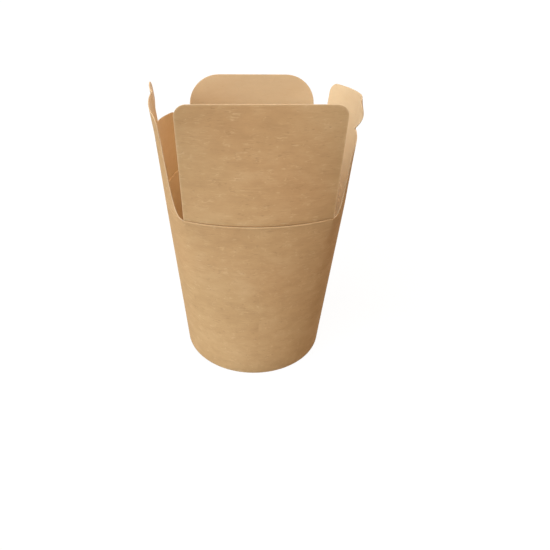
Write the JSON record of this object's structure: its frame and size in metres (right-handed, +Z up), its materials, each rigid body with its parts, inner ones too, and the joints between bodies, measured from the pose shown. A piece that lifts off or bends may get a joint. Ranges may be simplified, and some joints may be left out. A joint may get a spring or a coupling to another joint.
{
  "type": "noodle box",
  "caption": "Open kraft card noodle box: a round tapered cup with a recessed base and folding flaps above its fold line, the side ears slit and hooked to lock.",
  "frame": {"origin": "centre of the foot ring, on the plane that the box stands on", "axes": "+Z up along the axis of the cup, -Y towards the front flap, +X towards the right ear"},
  "size_m": [0.1001, 0.0764, 0.1485],
  "materials": {
    "kraft_card": "uncoated brown kraft with a soft fibre grain",
    "kraft_base": "brown kraft, food side"
  },
  "bodies": {
    "cup": {"wall": "kraft_card", "base": "kraft_base"},
    "front_flap": {"front_flap": "kraft_card"},
    "back_flap": {"back_flap": "kraft_card"},
    "left_ear": {"left_flap": "kraft_card"},
    "right_ear": {"right_flap": "kraft_card"}
  },
  "joints": [
    {"name": "front_fold", "type": "hinge", "parent": "cup", "child": "front_flap", "pos_m": [0, -0.034, 0.0968], "axis": [-1, 0, 0], "range_deg": [-84, 90]},
    {"name": "back_fold", "type": "hinge", "parent": "cup", "child": "back_flap", "pos_m": [0, 0.0344, 0.0968], "axis": [1, 0, 0], "range_deg": [-84, 110]},
    {"name": "left_fold", "type": "hinge", "parent": "cup", "child": "left_ear", "pos_m": [-0.04073, 0, 0.0978], "axis": [0, 1, 0], "range_deg": [-76, 80]},
    {"name": "right_fold", "type": "hinge", "parent": "cup", "child": "right_ear", "pos_m": [0.04073, 0, 0.0978], "axis": [0, -1, 0], "range_deg": [-76, 80]}
  ]
}
